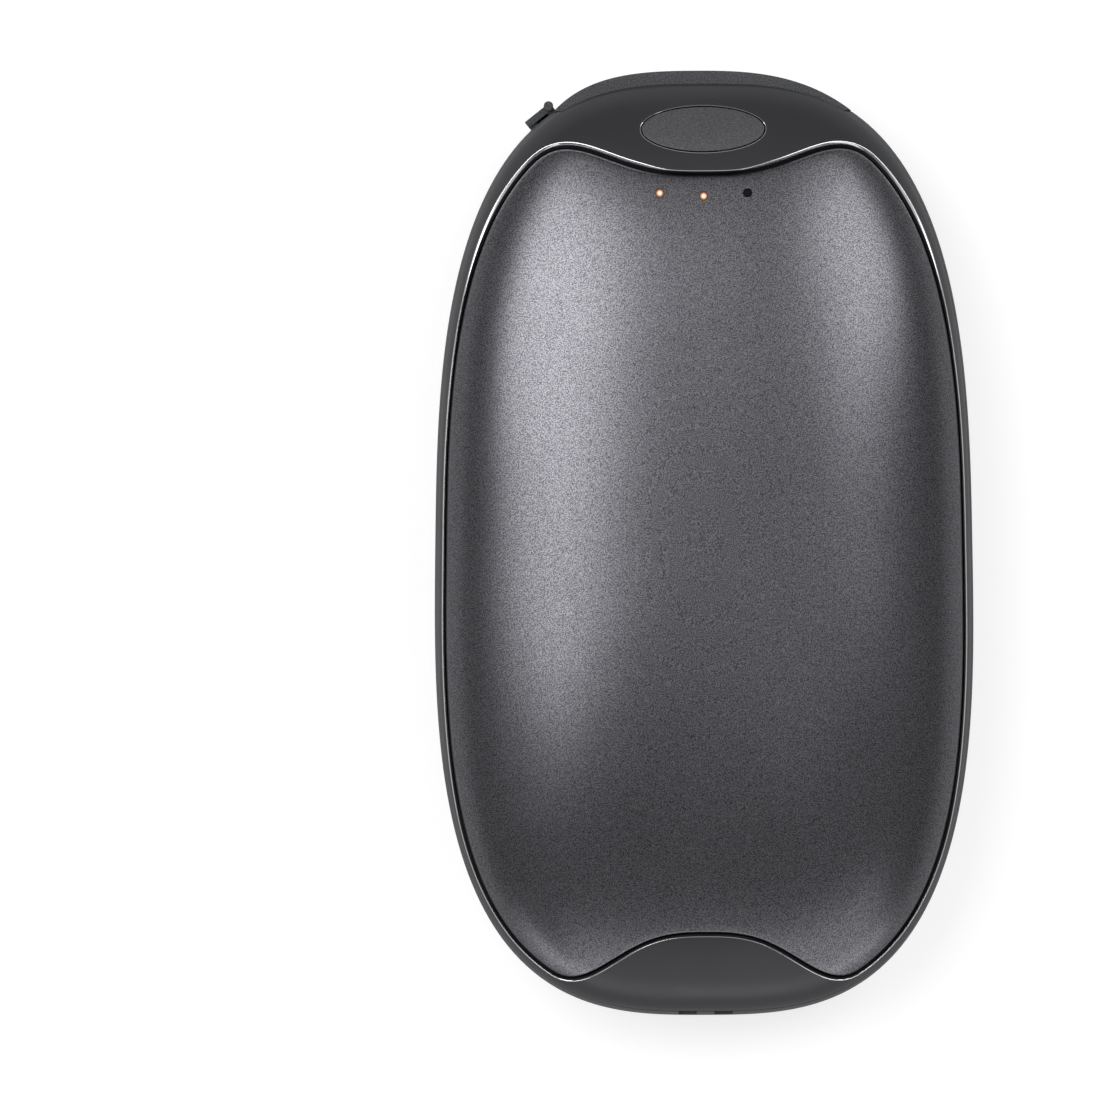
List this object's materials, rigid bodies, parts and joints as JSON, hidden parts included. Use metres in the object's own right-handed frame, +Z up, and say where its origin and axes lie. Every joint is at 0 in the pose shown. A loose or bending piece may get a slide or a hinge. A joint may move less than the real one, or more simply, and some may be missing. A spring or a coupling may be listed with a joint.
{
  "type": "rechargeable hand warmer",
  "caption": "Palm-sized rechargeable hand warmer: domed heat plate in a black bezel, power button and indicator lights, covered charging ports at one end, flat rear face.",
  "frame": {"origin": "centre of the bounding box in plan, on the flat rear face that the warmer rests on", "axes": "+Z up through the domed heat plate, +Y towards the end with the power button and the ports, +X to the right seen from above with the button at the top"},
  "size_m": [0.0618, 0.1082, 0.0228],
  "materials": {
    "housing": "fine bead texture, graphite grey",
    "rear_cover": "soft-touch matt, graphite grey",
    "bezel": "satin black with a polished inner edge",
    "heat_plate": "bead-blasted, anodised graphite",
    "film": "amber polyimide",
    "foam": "closed-cell foam",
    "battery": "pouch foil",
    "inner_frame": "moulded, as made",
    "red_lead": "silicone insulation",
    "black_lead": "silicone insulation",
    "board": "solder mask",
    "chip": "moulded package",
    "ferrite": "ferrite body",
    "port_steel": "nickel-plated sheet",
    "tongue": "moulded insulator",
    "light": "clear light guide",
    "magnet": "nickel plate",
    "screw_steel": "zinc plate",
    "rubber": "matt textured elastomer",
    "button": "fine texture"
  },
  "bodies": {
    "body": {"mid_housing": "housing", "rear_cover": "rear_cover", "front_bezel": "bezel", "heat_plate": "heat_plate", "heater_film": "film", "foam_pad": "foam", "battery_cell": "battery", "battery_bracket": "inner_frame", "battery_lead_red": "red_lead", "battery_lead_black": "black_lead", "heater_lead_left": "red_lead", "heater_lead_right": "red_lead", "main_board": "board", "controller_chip": "chip", "boost_inductor": "ferrite", "board_header": "chip", "usb_a_shell": "port_steel", "usb_a_tongue": "tongue", "usb_c_shell": "port_steel", "usb_c_tongue": "tongue", "upper_board": "board", "switch_body": "chip", "light_shroud": "inner_frame", "indicator_led_left": "light", "indicator_pipe_left": "light", "indicator_led_middle": "light", "indicator_pipe_middle": "light", "indicator_led_right": "light", "indicator_pipe_right": "light", "magnet_1": "magnet", "magnet_2": "magnet", "magnet_3": "magnet", "magnet_4": "magnet", "bezel_screw_1": "screw_steel", "bezel_screw_2": "screw_steel", "bezel_screw_3": "screw_steel", "bezel_screw_4": "screw_steel", "cover_anchor": "rubber"},
    "button": {"power_button": "button", "switch_plunger": "button"},
    "cover": {"port_cover": "rubber"}
  },
  "joints": [
    {"name": "power_button_press", "type": "slide", "parent": "body", "child": "button", "axis": [0, 0, -1], "range_m": [0, 0.0006], "stiffness_N_per_m": 1500},
    {"name": "port_cover_hinge", "type": "hinge", "parent": "body", "child": "cover", "pos_m": [-0.0163, 0.0502, 0.0068], "axis": [0, 0, 1], "range_deg": [0, 100], "stiffness_Nm_per_rad": 0.002}
  ]
}
